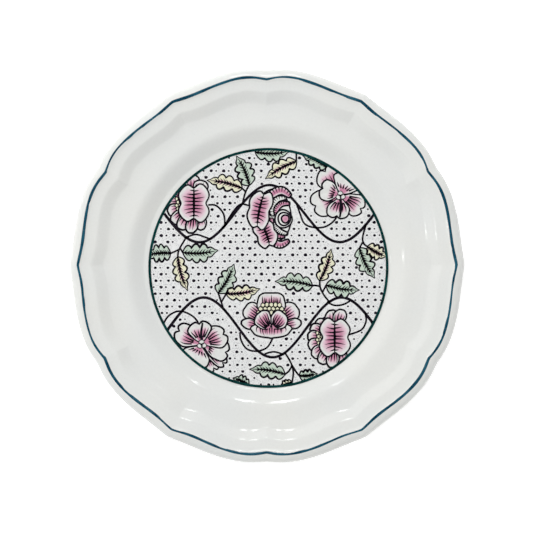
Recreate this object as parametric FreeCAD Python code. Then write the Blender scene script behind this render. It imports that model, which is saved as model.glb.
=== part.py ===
import FreeCAD, Part
import math
import os

# A china dinner plate with a scalloped rim and a printed well. Millimetres, +Z up.
# The origin is the middle of the foot ring's resting plane. +X runs through a point of the rim.

# ---- Driving dimensions ----
HALF_LOBE = 30.0            # degrees from a point of the rim to the next notch
WEDGES = 12                 # half-lobes round the plate
WAVE_HEIGHT = 1.15          # how far a half-lobe swings either side of the mean outline
WAVE_RATE = 0.188           # radians of the wave per degree in the middle of a half-lobe
WAVE_GAIN = 0.00037         # how much quicker it turns towards the half-lobe's ends, by degrees cubed

FLOOR_HEIGHT = 8.0          # face of the well above the table
GLAZE = 0.3                 # thickness of the glaze coats

# The face from the well's edge to the widest point of the lip, and the back from there to the
# foot ring. Each row is radius, height and the share of the rim's wave that it follows.
FACE_PROFILE = [
    (84.5, 8.0, 0.0),
    (85.3, 8.2, 0.0),
    (86.2, 8.65, 0.0),
    (88.0, 9.7, 0.0),
    (91.0, 11.5, 0.0),
    (93.0, 12.65, 0.0),
    (95.0, 13.5, 0.0),
    (97.0, 14.0, 0.0),
    (100.0, 14.25, 0.15),
    (105.0, 14.6, 0.6),
    (109.5, 15.25, 1.0),
    (111.8, 15.8, 1.15),
    (113.2, 16.45, 1.2),
    (115.5, 17.75, 1.2),
    (117.8, 19.05, 1.2),
    (118.9, 19.6, 1.2),
    (119.5, 19.8, 1.2),
    (121.0, 20.05, 1.15),
    (124.6, 20.7, 1.05),
    (126.4, 21.2, 1.0),
    (127.75, 21.88, 1.0),
    (128.55, 22.0, 1.0),
    (129.35, 21.96, 1.0),
    (131.0, 21.6, 0.9),
    (132.8, 20.7, 0.8),
    (134.1, 19.3, 0.65),
    (134.6, 17.9, 0.6),
]
BACK_PROFILE = [
    (134.6, 17.9, 0.6),
    (134.3, 16.8, 0.6),
    (133.1, 16.15, 0.65),
    (131.0, 16.4, 0.75),
    (127.5, 16.9, 0.9),
    (122.0, 16.3, 1.0),
    (117.0, 14.6, 1.0),
    (112.0, 12.4, 0.8),
    (106.0, 11.6, 0.4),
    (100.0, 11.0, 0.1),
    (95.0, 9.9, 0.0),
    (91.5, 8.1, 0.0),
    (88.6, 5.9, 0.0),
    (86.4, 4.2, 0.0),
    (84.6, 3.45, 0.0),
]

# The foot ring's section, clockwise from outside: glazed wall, bare resting face, glazed wall.
FOOT_TOP_OUTSIDE = (82.6, 3.1)
FOOT_EDGE_OUTSIDE = (81.2, 0.55)
FOOT_REST_OUTSIDE = (80.5, 0.0)
FOOT_REST_INSIDE = (77.9, 0.0)
FOOT_EDGE_INSIDE = (77.2, 0.55)
FOOT_TOP_INSIDE = (75.6, 3.2)

RIM_LINE_INNER = 127.75     # mean radius of the painted rim line's edges, both rows of the profile
RIM_LINE_OUTER = 129.35
RIM_LINE_THICKNESS = 0.08

PRINT_CENTRE = (0.8, -1.35) # the print sits a little off the middle of the plate
PRINT_RADIUS = 81.1
WELL_LINE_WIDTH = 1.8
FILM = 0.04                 # thickness of the ground film, and of each colour laid on it

DOT_PITCH = 8.67            # along a row, from one large dot to the next
DOT_ROW = 4.47              # from one row to the next
DOT_SMALL_SHIFT = 0.395     # the small dot's place along the pitch
DOT_DRIFT = 0.45            # how far rows slip sideways, as DOT_DRIFT * sin(DOT_BEAT * row)
DOT_BEAT = 2.4
DOT_LARGE = (1.1, 0.95)     # half width and half height
DOT_SMALL = (0.65, 0.62)
DOT_CLEARANCE = 0.5         # bare ground kept between a dot and the motifs

STEM_WIDTH = 1.8
TENDRIL_WIDTH = 1.1

ANGLE_STEPS = 12            # steps along a half-lobe in a surface grid
ROW_SPACING = 0.9           # between the rows of a surface grid, along the profile
BAND_ROWS = 15              # rows of the grid in one face
SAME_HEIGHT = 0.001         # edges this close in height lie on one ring

LEAF_STEPS = 16
LEAF_LOBES = 4
LEAF_LOBE_DEPTH = 0.14
STEM_STEPS = 30
SMALLEST_AREA = 1.5         # a scrap of colour smaller than this, mm2, is left out
STEM_OVERRUN = 3.0          # how far a long stem is drawn past the print before it is cut off

# The two long stems: mean height on the plate, swing, where a crest or trough lies, and pitch.
STEMS = [
    (37.4, 19.8, 0.9, 97.0),
    (-41.2, -20.6, 3.0, 95.0),
]

# Blossoms: middle, half width, half height, petals and how deep the petals are cut.
BLOSSOMS = [
    (-55.5, 44.2, 15.0, 20.5, 7, 0.14),
    (0.9, 34.8, 15.5, 20.5, 9, 0.07),
    (48.2, 50.6, 19.0, 16.0, 5, 0.16),
    (2.1, -32.8, 20.5, 15.0, 7, 0.14),
    (41.5, -48.6, 15.0, 20.5, 7, 0.14),
    (-45.2, -53.6, 19.5, 15.5, 5, 0.16),
]

# Leaves: foot, tip and greatest half width.
GREEN_LEAVES = [
    ((-13.0, 57.0), (-22.0, 77.5), 6.3),
    ((-9.0, 80.0), (15.0, 80.5), 5.8),
    ((40.5, 69.5), (23.5, 78.0), 5.0),
    ((-67.5, 10.0), (-84.0, 8.5), 6.2),
    ((-59.0, 10.5), (-34.5, 12.0), 6.6),
    ((-34.5, -17.5), (-23.5, 2.5), 6.0),
    ((30.5, -12.5), (4.5, -9.5), 6.1),
    ((40.0, -12.0), (63.0, -15.5), 6.1),
    ((63.0, 13.5), (73.5, -7.5), 6.0),
    ((11.5, -73.5), (-13.0, -70.0), 5.6),
    ((21.5, -74.5), (34.0, -73.0), 4.2),
    ((-13.5, -81.0), (-24.5, -76.0), 4.2),
]
CREAM_LEAVES = [
    ((-18.0, 55.0), (-42.5, 60.5), 5.5),
    ((19.5, 73.5), (-2.0, 61.5), 5.6),
    ((-62.5, 7.5), (-55.5, -16.0), 5.2),
    ((-29.0, -18.0), (-5.5, -14.5), 5.4),
    ((35.5, -9.0), (43.5, 13.0), 5.2),
    ((68.5, 14.5), (82.0, 7.5), 5.2),
    ((16.5, -79.0), (8.0, -82.5), 3.0),
]

# Twigs and tendrils: the points that each passes through.
TWIGS = [
    [(-17.5, 45.5), (-15.8, 52.0), (-13.0, 57.5)],
    [(-15.5, 52.5), (-18.0, 55.0)],
    [(19.5, 80.0), (19.5, 73.5)],
    [(-57.0, 20.5), (-60.0, 15.5), (-62.0, 11.5), (-62.5, 7.5)],
    [(-61.0, 13.0), (-65.0, 11.0), (-67.5, 10.0)],
    [(-60.8, 13.5), (-59.0, 10.5)],
    [(-58.0, 20.5), (-50.5, 23.0), (-44.5, 21.5), (-39.5, 19.5)],
    [(67.5, 29.5), (65.2, 21.0), (66.0, 16.5), (68.5, 14.5)],
    [(65.2, 17.5), (63.0, 13.5)],
    [(-31.0, -28.0), (-32.8, -22.5), (-34.5, -17.5)],
    [(-32.2, -23.5), (-29.0, -18.0)],
    [(42.5, -24.0), (38.5, -19.0), (36.0, -14.0), (35.5, -9.0)],
    [(37.5, -17.0), (40.0, -12.0)],
    [(36.0, -13.0), (32.5, -12.3), (30.5, -12.5)],
    [(40.5, -23.5), (45.5, -26.0), (51.5, -25.5), (56.5, -23.0)],
    [(66.5, -30.5), (67.5, -36.5), (64.0, -43.0), (54.5, -46.5)],
    [(-2.5, -59.5), (4.0, -58.0), (11.0, -60.0)],
    [(11.5, -58.5), (15.8, -66.0), (17.3, -72.0), (16.5, -79.0)],
    [(16.3, -67.5), (14.5, -71.0), (11.5, -73.5)],
    [(16.3, -67.0), (19.0, -71.5), (21.5, -74.5)],
    [(-41.5, 43.5), (-36.0, 43.0), (-31.0, 37.5), (-30.0, 30.5), (-31.0, 27.0)],
    [(-30.5, 28.0), (-27.3, 34.0), (-22.5, 41.0), (-18.5, 44.0), (-13.5, 43.0)],
    [(19.5, 44.5), (21.8, 38.0), (25.0, 30.5), (31.5, 27.8), (39.5, 28.3), (46.0, 33.0), (49.5, 40.0)],
    [(-72.0, -38.0), (-68.5, -33.0), (-62.0, -30.0), (-55.0, -31.7), (-49.3, -36.3), (-46.5, -43.0)],
    [(-19.5, -44.5), (-18.7, -50.0), (-14.7, -56.0), (-7.7, -57.6), (-0.8, -55.0), (3.0, -49.0)],
]


# ---- Scalloped surfaces ----

def wave(angle):
    """How far the rim's outline swings outward at an angle in degrees."""
    from_point = angle % (2 * HALF_LOBE)
    from_point = min(from_point, 2 * HALF_LOBE - from_point)
    from_middle = from_point - HALF_LOBE / 2
    return WAVE_HEIGHT * math.sin(WAVE_RATE * from_middle + WAVE_GAIN * from_middle ** 3)


def on_plate(radius, height, share, angle):
    """The point at a place of the profile, at an angle in degrees."""
    reach = radius + share * wave(angle)
    turn = math.radians(angle)
    return FreeCAD.Vector(reach * math.cos(turn), reach * math.sin(turn), height)


def profile_rows(profile, start_way, end_way, inset):
    """Even rows along a smooth profile with given end directions, moved into the china by an inset."""
    gaps = [math.dist(here[:2], there[:2]) for here, there in zip(profile, profile[1:])]
    ways = [start_way]
    for before, here, after, gap_in, gap_out in zip(profile, profile[1:], profile[2:], gaps, gaps[1:]):
        ways.append([
            ((b - a) / gap_in * gap_out + (c - b) / gap_out * gap_in) / (gap_in + gap_out)
            for a, b, c in zip(before, here, after)
        ])
    ways.append(end_way)
    rows = []
    for index, gap in enumerate(gaps):
        steps = max(1, round(gap / ROW_SPACING))
        last = index == len(gaps) - 1
        for step in range(steps + last):
            rows.append(profile_point(profile, ways, index, gap, step / steps, inset))
    return rows


def profile_point(profile, ways, index, gap, t, inset):
    """Radius, height and wave share at a fraction t of one stretch of a profile."""
    point = []
    along = []
    for a, b, way_a, way_b in zip(profile[index], profile[index + 1], ways[index], ways[index + 1]):
        rise = b - a
        ease_a = gap * way_a
        ease_b = gap * way_b
        point.append(
            a + t * ease_a + t * t * (3 * rise - 2 * ease_a - ease_b) + t ** 3 * (ease_a + ease_b - 2 * rise)
        )
        along.append(ease_a + 2 * t * (3 * rise - 2 * ease_a - ease_b) + 3 * t * t * (ease_a + ease_b - 2 * rise))
    length = math.hypot(along[0], along[1])
    return point[0] + inset * along[1] / length, point[1] - inset * along[0] / length, point[2]


def spline_through(points, places):
    """A smooth curve through points at given places along it."""
    curve = Part.BSplineCurve()
    curve.interpolate(Points=points, Parameters=places)
    return curve


def scalloped_faces(rows):
    """Curved faces, band by band in each half-lobe, through rows of radius, height and wave share."""
    run = [0.0]
    for here, there in zip(rows, rows[1:]):
        run.append(run[-1] + math.dist(here[:2], there[:2]))
    turns = [step / ANGLE_STEPS for step in range(ANGLE_STEPS + 1)]
    faces = []
    for wedge in range(WEDGES):
        radial = [
            spline_through([on_plate(*row, HALF_LOBE * (wedge + turn)) for row in rows], run)
            for turn in turns
        ]
        around = [spline_through(list(poles), turns) for poles in zip(*(curve.getPoles() for curve in radial))]
        surface = Part.BSplineSurface()
        surface.buildFromPolesMultsKnots(
            [list(poles) for poles in zip(*(curve.getPoles() for curve in around))],
            around[0].getMultiplicities(),
            radial[0].getMultiplicities(),
            around[0].getKnots(),
            radial[0].getKnots(),
            False,
            False,
            around[0].Degree,
            radial[0].Degree,
        )
        knots = surface.getVKnots()
        marks = list(range(0, len(knots) - 1, BAND_ROWS)) + [len(knots) - 1]
        for low, high in zip(marks, marks[1:]):
            band = surface.copy()
            band.segment(turns[0], turns[-1], knots[low], knots[high])
            faces.append(band.toShape())
    return faces


def ring_edges(faces, height):
    """The edge of each face that runs round the plate at a height, one for each half-lobe."""
    edges = []
    for face in faces:
        for edge in face.Edges:
            if all(abs(vertex.Z - height) < SAME_HEIGHT for vertex in edge.Vertexes):
                edges.append(edge)
    return edges


def disc_face(faces, height):
    """The flat face inside the ring of edges at a height."""
    return Part.Face(Part.Wire(Part.__sortEdges__(ring_edges(faces, height))))


def strips(edges, other_edges):
    """Straight strips that join two rings of edges."""
    return [Part.makeRuledSurface(edge, other) for edge, other in zip(edges, other_edges)]


def arcs(corner):
    """A circle round the plate as one arc for each half-lobe."""
    centre = FreeCAD.Vector(0, 0, corner[1])
    up = FreeCAD.Vector(0, 0, 1)
    starts = [HALF_LOBE * wedge for wedge in range(WEDGES)]
    return [Part.makeCircle(corner[0], centre, up, start, start + HALF_LOBE) for start in starts]


def turned_faces(corners):
    """Faces of revolution, in half-lobe wedges, through a chain of radius and height corners."""
    faces = []
    for wedge in range(WEDGES):
        turn = math.radians(HALF_LOBE * wedge)
        for start, end in zip(corners, corners[1:]):
            ends = [
                FreeCAD.Vector(radius * math.cos(turn), radius * math.sin(turn), height)
                for radius, height in (start, end)
            ]
            edge = Part.makeLine(ends[0], ends[1])
            faces += edge.revolve(FreeCAD.Vector(0, 0, 0), FreeCAD.Vector(0, 0, 1), HALF_LOBE).Faces
    return faces


def solid_from(faces):
    """Sew faces into one closed solid and join what lies on the same surface."""
    skin = Part.makeCompound(faces)
    skin.sewShape()
    solid = Part.makeSolid(skin.Shells[0])
    if solid.Volume < 0:
        solid.reverse()
    return solid.removeSplitter()


# ---- China and glaze ----

OUTWARD = (1.0, 0.0, 0.0)
DOWNWARD = (0.0, -1.0, 0.0)
INWARD = (-0.985, -0.174, 0.0)
FACE_BODY = profile_rows(FACE_PROFILE, OUTWARD, DOWNWARD, GLAZE)
FACE_OUTSIDE = profile_rows(FACE_PROFILE, OUTWARD, DOWNWARD, 0.0)
BACK_BODY = profile_rows(BACK_PROFILE, DOWNWARD, INWARD, GLAZE)
BACK_OUTSIDE = profile_rows(BACK_PROFILE, DOWNWARD, INWARD, 0.0)


def under_glaze(corner, side):
    """A foot corner moved in under the glaze. Side is 1 outside the ring and -1 inside it."""
    return corner[0] - side * GLAZE, corner[1] + GLAZE


TOP_OUTSIDE_BODY = under_glaze(FOOT_TOP_OUTSIDE, 1)
TOP_INSIDE_BODY = under_glaze(FOOT_TOP_INSIDE, -1)
EDGE_OUTSIDE_BODY = under_glaze(FOOT_EDGE_OUTSIDE, 1)
EDGE_INSIDE_BODY = under_glaze(FOOT_EDGE_INSIDE, -1)


def ceramic_body():
    """The fired clay body: well, wall, rim, rolled lip and foot ring."""
    skin = scalloped_faces(FACE_BODY + BACK_BODY[1:])
    neck = strips(ring_edges(skin, BACK_BODY[-1][1]), arcs(TOP_OUTSIDE_BODY))
    foot = turned_faces([
        TOP_OUTSIDE_BODY,
        EDGE_OUTSIDE_BODY,
        FOOT_EDGE_OUTSIDE,
        FOOT_REST_OUTSIDE,
        FOOT_REST_INSIDE,
        FOOT_EDGE_INSIDE,
        EDGE_INSIDE_BODY,
        TOP_INSIDE_BODY,
        (0.0, TOP_INSIDE_BODY[1]),
    ])
    return solid_from(skin + [disc_face(skin, FACE_BODY[0][1])] + neck + foot)


def face_glaze():
    """The clear coat over the face, which ends at the widest point of the lip."""
    outside = scalloped_faces(FACE_OUTSIDE)
    inside = scalloped_faces(FACE_BODY)
    lip_height = FACE_OUTSIDE[-1][1]
    lip = strips(ring_edges(outside, lip_height), ring_edges(inside, lip_height))
    floors = [disc_face(outside, FACE_OUTSIDE[0][1]), disc_face(inside, FACE_BODY[0][1])]
    return solid_from(outside + inside + lip + floors)


def back_glaze():
    """The coat on the back: one area outside the foot ring and one inside it."""
    outside = scalloped_faces(BACK_OUTSIDE)
    inside = scalloped_faces(BACK_BODY)
    lip_height = BACK_OUTSIDE[0][1]
    lip = strips(ring_edges(outside, lip_height), ring_edges(inside, lip_height))
    neck = strips(ring_edges(outside, BACK_OUTSIDE[-1][1]), arcs(FOOT_TOP_OUTSIDE))
    neck += strips(ring_edges(inside, BACK_BODY[-1][1]), arcs(TOP_OUTSIDE_BODY))
    wall = turned_faces([FOOT_TOP_OUTSIDE, FOOT_EDGE_OUTSIDE, EDGE_OUTSIDE_BODY, TOP_OUTSIDE_BODY])
    ceiling = turned_faces([
        (0.0, FOOT_TOP_INSIDE[1]),
        FOOT_TOP_INSIDE,
        FOOT_EDGE_INSIDE,
        EDGE_INSIDE_BODY,
        TOP_INSIDE_BODY,
        (0.0, TOP_INSIDE_BODY[1]),
    ])
    return Part.makeCompound([solid_from(outside + inside + lip + neck + wall), solid_from(ceiling)])


def rim_line():
    """The painted line on the crest of the rim."""
    raised = profile_rows(FACE_PROFILE, OUTWARD, DOWNWARD, -RIM_LINE_THICKNESS)
    places = [
        index for index, row in enumerate(FACE_OUTSIDE)
        if RIM_LINE_INNER - SAME_HEIGHT < row[0] < RIM_LINE_OUTER + SAME_HEIGHT
    ]
    under = [FACE_OUTSIDE[index] for index in places]
    over = [raised[index] for index in places]
    bottom = scalloped_faces(under)
    top = scalloped_faces(over)
    sides = strips(ring_edges(bottom, under[0][1]), ring_edges(top, over[0][1]))
    sides += strips(ring_edges(bottom, under[-1][1]), ring_edges(top, over[-1][1]))
    return solid_from(bottom + top + sides)


# ---- Print ----

def flat_spline(points, closed=False):
    """A smooth edge through points on the plane."""
    curve = Part.BSplineCurve()
    curve.interpolate(Points=[FreeCAD.Vector(x, y, 0) for x, y in points], PeriodicFlag=closed)
    return curve.toShape()


def face_between(side, other_side):
    """The flat face between two smooth sides, each given from the same end."""
    edges = [flat_spline(side), flat_spline(other_side)]
    for a, b in ((side[0], other_side[0]), (side[-1], other_side[-1])):
        if math.dist(a, b) > SAME_HEIGHT:
            edges.append(Part.makeLine(FreeCAD.Vector(*a, 0), FreeCAD.Vector(*b, 0)))
    return Part.Face(Part.Wire(Part.__sortEdges__(edges)))


def blossom_face(middle_x, middle_y, half_width, half_height, petals, depth):
    """A blossom's outline: an oval with rounded petals round its edge."""
    points = []
    count = petals * 6
    for index in range(count):
        turn = 2 * math.pi * index / count
        reach = 1 - depth * (0.5 - 0.5 * math.cos(petals * turn))
        points.append((
            middle_x + half_width * reach * math.cos(turn),
            middle_y + half_height * reach * math.sin(turn),
        ))
    return Part.Face(Part.Wire([flat_spline(points, closed=True)]))


def leaf_face(foot, tip, half_width):
    """A lobed leaf from its foot to its pointed tip."""
    length = math.dist(foot, tip)
    along = ((tip[0] - foot[0]) / length, (tip[1] - foot[1]) / length)
    sides = []
    for hand in (1, -1):
        side = []
        for step in range(LEAF_STEPS + 1):
            place = step / LEAF_STEPS
            lobes = 1 + LEAF_LOBE_DEPTH * math.cos(2 * math.pi * LEAF_LOBES * place)
            reach = hand * half_width * math.sin(math.pi * place ** 0.8) * lobes
            side.append((
                foot[0] + place * length * along[0] - reach * along[1],
                foot[1] + place * length * along[1] + reach * along[0],
            ))
        sides.append(side)
    return face_between(*sides)


def stem_face(path, width):
    """A stem of even width along a path."""
    left = []
    right = []
    for index, (x, y) in enumerate(path):
        before = path[max(index - 1, 0)]
        after = path[min(index + 1, len(path) - 1)]
        run = math.dist(before, after)
        across = ((after[1] - before[1]) / run * width / 2, (before[0] - after[0]) / run * width / 2)
        left.append((x - across[0], y - across[1]))
        right.append((x + across[0], y + across[1]))
    return face_between(left, right)


def wave_stem(middle, swing, crest, pitch):
    """One of the two long stems that wave across the well."""
    half = math.sqrt(PRINT_RADIUS ** 2 - middle ** 2) + STEM_OVERRUN
    path = []
    for step in range(STEM_STEPS + 1):
        x = -half + 2 * half * step / STEM_STEPS
        path.append((x, middle + swing * math.cos(2 * math.pi * (x - crest) / pitch)))
    return stem_face(path, STEM_WIDTH)


def film(faces, level):
    """Faces as thin solids, a number of films above the well's glaze."""
    height = FLOOR_HEIGHT + level * FILM
    moved = [face.translated(FreeCAD.Vector(*PRINT_CENTRE, height)) for face in faces]
    return [face.extrude(FreeCAD.Vector(0, 0, FILM)) for face in moved]


def cut_to_print(faces, others):
    """Faces cut off at the print's edge and wherever other motifs lie over them."""
    disc = Part.Face(Part.Wire([Part.makeCircle(PRINT_RADIUS)]))
    kept = []
    for face in faces:
        shape = face.common(disc)
        if others:
            shape = shape.cut(others)
        kept += [piece for piece in shape.Faces if piece.Area > SMALLEST_AREA]
    return kept


def dot_faces(motifs):
    """Staggered rows of large and small dots, wherever the ground shows between the motifs."""
    cover = Part.makeCompound(motifs)
    faces = []
    rows = int(PRINT_RADIUS / DOT_ROW)
    for row in range(-rows, rows + 1):
        shift = DOT_PITCH / 2 * (row % 2) + DOT_DRIFT * math.sin(DOT_BEAT * row)
        columns = int(PRINT_RADIUS / DOT_PITCH) + 1
        for column in range(-columns, columns + 1):
            for place, size in ((0.0, DOT_LARGE), (DOT_SMALL_SHIFT, DOT_SMALL)):
                x = (column + place) * DOT_PITCH + shift
                y = row * DOT_ROW
                middle = FreeCAD.Vector(x, y, 0)
                if math.hypot(x, y) > PRINT_RADIUS - size[0] - DOT_CLEARANCE:
                    continue
                if cover.distToShape(Part.Vertex(middle))[0] > size[0] + DOT_CLEARANCE:
                    faces.append(Part.Face(Part.Wire([Part.Ellipse(middle, *size).toShape()])))
    return faces


def print_nodes():
    """The printed layers, by node name."""
    blossoms = cut_to_print([blossom_face(*blossom) for blossom in BLOSSOMS], None)
    over = Part.makeCompound(blossoms)
    green = cut_to_print([leaf_face(*leaf) for leaf in GREEN_LEAVES], over)
    cream = cut_to_print([leaf_face(*leaf) for leaf in CREAM_LEAVES], over)
    over = Part.makeCompound(blossoms + green + cream)
    stems = [wave_stem(*stem) for stem in STEMS]
    stems += [stem_face(path, TENDRIL_WIDTH) for path in TWIGS]
    network = stems[0].multiFuse(stems[1:]).removeSplitter()
    stems = cut_to_print(network.Faces, over)
    dots = dot_faces(blossoms + green + cream + stems)
    disc = Part.makeCylinder(PRINT_RADIUS, FILM, FreeCAD.Vector(*PRINT_CENTRE, FLOOR_HEIGHT))
    outer = Part.makeCylinder(
        PRINT_RADIUS + WELL_LINE_WIDTH, 2 * FILM, FreeCAD.Vector(*PRINT_CENTRE, FLOOR_HEIGHT)
    )
    inner = Part.makeCylinder(PRINT_RADIUS, 2 * FILM, FreeCAD.Vector(*PRINT_CENTRE, FLOOR_HEIGHT))
    return {
        "well_line": outer.cut(inner),
        "print_ground": disc,
        "ground_dots": Part.makeCompound(film(dots, 1)),
        "green_leaves": Part.makeCompound(film(green, 1)),
        "cream_leaves": Part.makeCompound(film(cream, 1)),
        "rose_blossoms": Part.makeCompound(film(blossoms, 1)),
        "black_stems": Part.makeCompound(film(stems, 1)),
    }


os.makedirs("parts", exist_ok=True)
nodes = {
    "ceramic_body": ceramic_body(),
    "face_glaze": face_glaze(),
    "back_glaze": back_glaze(),
    "rim_line": rim_line(),
}
nodes.update(print_nodes())
for name, shape in nodes.items():
    shape.exportStep("parts/" + name + ".step")
    print(name, len(shape.Solids), "solids", shape.isValid(), round(shape.Volume, 2), "mm3", shape.BoundBox)
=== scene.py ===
import math
import random

import bpy
from mathutils import Matrix, Vector


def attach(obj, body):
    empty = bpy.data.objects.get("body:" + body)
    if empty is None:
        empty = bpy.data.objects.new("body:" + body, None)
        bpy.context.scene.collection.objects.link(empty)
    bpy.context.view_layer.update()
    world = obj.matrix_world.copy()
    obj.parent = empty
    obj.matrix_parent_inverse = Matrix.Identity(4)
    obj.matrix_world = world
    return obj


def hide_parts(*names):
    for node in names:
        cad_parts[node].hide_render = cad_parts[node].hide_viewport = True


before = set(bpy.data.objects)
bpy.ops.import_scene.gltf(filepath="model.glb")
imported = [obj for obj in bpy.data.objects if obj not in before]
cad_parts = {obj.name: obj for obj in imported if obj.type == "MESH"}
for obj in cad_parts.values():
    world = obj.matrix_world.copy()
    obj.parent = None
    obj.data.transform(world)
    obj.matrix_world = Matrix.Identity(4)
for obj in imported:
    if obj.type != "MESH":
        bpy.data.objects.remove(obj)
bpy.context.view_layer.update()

# A scalloped china dinner plate with a printed well, dressed over its CAD model.
# Sizes in this script are millimetres until a mesh is made.

MM = 0.001

# ---- The china's shape, the same as the CAD model's ----
HALF_LOBE = 30.0            # degrees from a point of the rim to the next notch
WAVE_HEIGHT = 1.15
WAVE_RATE = 0.188
WAVE_GAIN = 0.00037
GLAZE = 0.3
FLOOR_HEIGHT = 8.0
FACE_PROFILE = [
    (84.5, 8.0, 0.0), (85.3, 8.2, 0.0), (86.2, 8.65, 0.0), (88.0, 9.7, 0.0), (91.0, 11.5, 0.0),
    (93.0, 12.65, 0.0), (95.0, 13.5, 0.0), (97.0, 14.0, 0.0), (100.0, 14.25, 0.15), (105.0, 14.6, 0.6),
    (109.5, 15.25, 1.0), (111.8, 15.8, 1.15), (113.2, 16.45, 1.2), (115.5, 17.75, 1.2), (117.8, 19.05, 1.2),
    (118.9, 19.6, 1.2), (119.5, 19.8, 1.2), (121.0, 20.05, 1.15), (124.6, 20.7, 1.05), (126.4, 21.2, 1.0),
    (127.75, 21.88, 1.0), (128.55, 22.0, 1.0), (129.35, 21.96, 1.0), (131.0, 21.6, 0.9), (132.8, 20.7, 0.8),
    (134.1, 19.3, 0.65), (134.6, 17.9, 0.6),
]
BACK_PROFILE = [
    (134.6, 17.9, 0.6), (134.3, 16.8, 0.6), (133.1, 16.15, 0.65), (131.0, 16.4, 0.75), (127.5, 16.9, 0.9),
    (122.0, 16.3, 1.0), (117.0, 14.6, 1.0), (112.0, 12.4, 0.8), (106.0, 11.6, 0.4), (100.0, 11.0, 0.1),
    (95.0, 9.9, 0.0), (91.5, 8.1, 0.0), (88.6, 5.9, 0.0), (86.4, 4.2, 0.0), (84.6, 3.45, 0.0),
]
FOOT_OUTSIDE = [(82.6, 3.1), (81.2, 0.55)]
FOOT_INSIDE = [(77.2, 0.55), (75.6, 3.2)]
OUTWARD = (1.0, 0.0, 0.0)
DOWNWARD = (0.0, -1.0, 0.0)
INWARD = (-0.985, -0.174, 0.0)
RIM_LINE_INNER = 127.75
RIM_LINE_OUTER = 129.35
RIM_LINE_THICKNESS = 0.08
RIM_LINE_DEPTH = 0.15       # how far the line reaches into the glaze
RIM_LINE_SPARE = 0.4        # rows this far beyond the line's edges still belong to it
WEDGES = 12                 # half-lobes round the plate
WEDGE_STEPS = 30            # steps along a half-lobe, closer together towards its ends
TURN_STEPS = WEDGES * WEDGE_STEPS
FACE_SPACING = 0.6
BACK_SPACING = 1.1

# Waves round the plate that keep the painted lines uneven: height, how many, and start in radians.
RIM_LINE_SWELL = 1.14
RIM_SWELLS = [(0.1, 7, 0.0), (0.08, 19, 1.0), (0.05, 53, 0.0)]
RIM_WANDERS = [(0.08, 5, 2.0), (0.05, 23, 0.0)]
WELL_WANDERS = [(0.07, 5, 1.0), (0.05, 17, 0.0)]

# ---- Colours, and stops of colour along a tint or a noise ----
BLACK = (0.0, 0.0, 0.0)
WHITE = (1.0, 1.0, 1.0)
GLAZE_COOL = (0.75, 0.764, 0.75)
GLAZE_WARM = (0.765, 0.772, 0.745)
PIN_SPECK = (0.8, 0.78, 0.74)
CLAY_STOPS = [(0.3, (0.56, 0.5, 0.41)), (0.7, (0.72, 0.67, 0.58))]
PAPER_STOPS = [(0.35, (0.765, 0.775, 0.77)), (0.65, (0.79, 0.795, 0.79))]
PAPER_SPECK = (0.42, 0.42, 0.44, 1.0)
MID_ROSE = (0.6, 0.27, 0.39)
ROSE_STOPS = [
    (0.0, (0.76, 0.77, 0.75)), (0.35, (0.76, 0.58, 0.65)),
    (0.75, (0.65, 0.35, 0.46)), (1.0, (0.57, 0.24, 0.36)),
]
GREEN_STOPS = [(0.0, (0.56, 0.66, 0.565)), (0.6, (0.5, 0.615, 0.51)), (1.0, (0.38, 0.5, 0.39))]
CREAM_STOPS = [(0.0, (0.79, 0.78, 0.585)), (0.6, (0.78, 0.72, 0.55)), (0.85, MID_ROSE), (1.0, MID_ROSE)]
GLOSS_ROUGHNESS = 0.09
GLOSS_INDEX = 1.5

# ---- Studio and camera, in metres and watts ----
SKY = [(0.1, 0.68), (0.4, 0.85), (0.64, 0.35), (0.9, 0.02)]     # brightness from the horizon to overhead
TABLE_SIZE = 6.0
TABLE_GLOW = 0.34
KEY_PLACE = (-0.9, 1.0, 1.35)
KEY_TARGET = (0.0, 0.0, 0.01)
KEY_SIZE = 0.5
KEY_WATTS = 15.5
FILL_PLACE = (0.0, 0.0, 2.2)
FILL_SIZE = 1.6
FILL_WATTS = 21.6
WINDOW_DISTANCE = 1.6
WINDOW_LEAN = 40.0          # degrees from straight up
WINDOWS = [                 # azimuth in degrees, width, height, and watts
    (83.4, 0.135, 0.36, 1.2),
    (98.8, 0.19, 0.36, 1.7),
    (120.0, 0.05, 0.3, 0.5),
    (62.0, 0.06, 0.3, 0.5),
    (180.0, 0.04, 0.3, 0.4),
]
CAMERA_LENS = 121.9         # millimetres
CAMERA_DISTANCE = 1.24
CAMERA_AIM = (-0.00024, -0.00078, 0.014)
CAMERA_LEAN = 2.6           # degrees from straight up
CAMERA_SIDE = 0.44          # how much of the lean is to the right
CAMERA_FRONT = -0.9         # and how much is to the front


# ---- Meshes ----

class Pieces:
    """Points and faces that become one mesh, with a tint from 0 to 1 on each point."""

    def __init__(self):
        self.points = []
        self.faces = []
        self.tints = []

    def add_points(self, points, tints=None):
        first = len(self.points)
        self.points += points
        self.tints += tints if tints else [0.0] * len(points)
        return first

    def join_rings(self, rings, steps):
        """Faces between neighbouring rings of points, each given by its first point."""
        for first, then in zip(rings, rings[1:]):
            for step in range(steps):
                after = (step + 1) % steps
                self.faces.append([first + step, then + step, then + after, first + after])

    def make(self, name, material, smooth=False):
        mesh = bpy.data.meshes.new(name)
        mesh.from_pydata([[c * MM for c in point] for point in self.points], [], self.faces)
        mesh.attributes.new("tint", "FLOAT", "POINT").data.foreach_set("value", self.tints)
        mesh.polygons.foreach_set("use_smooth", [smooth] * len(mesh.polygons))
        mesh.materials.append(material)
        mesh.validate()
        mesh.update()
        thing = bpy.data.objects.new(name, mesh)
        bpy.context.scene.collection.objects.link(thing)
        return thing


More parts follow.
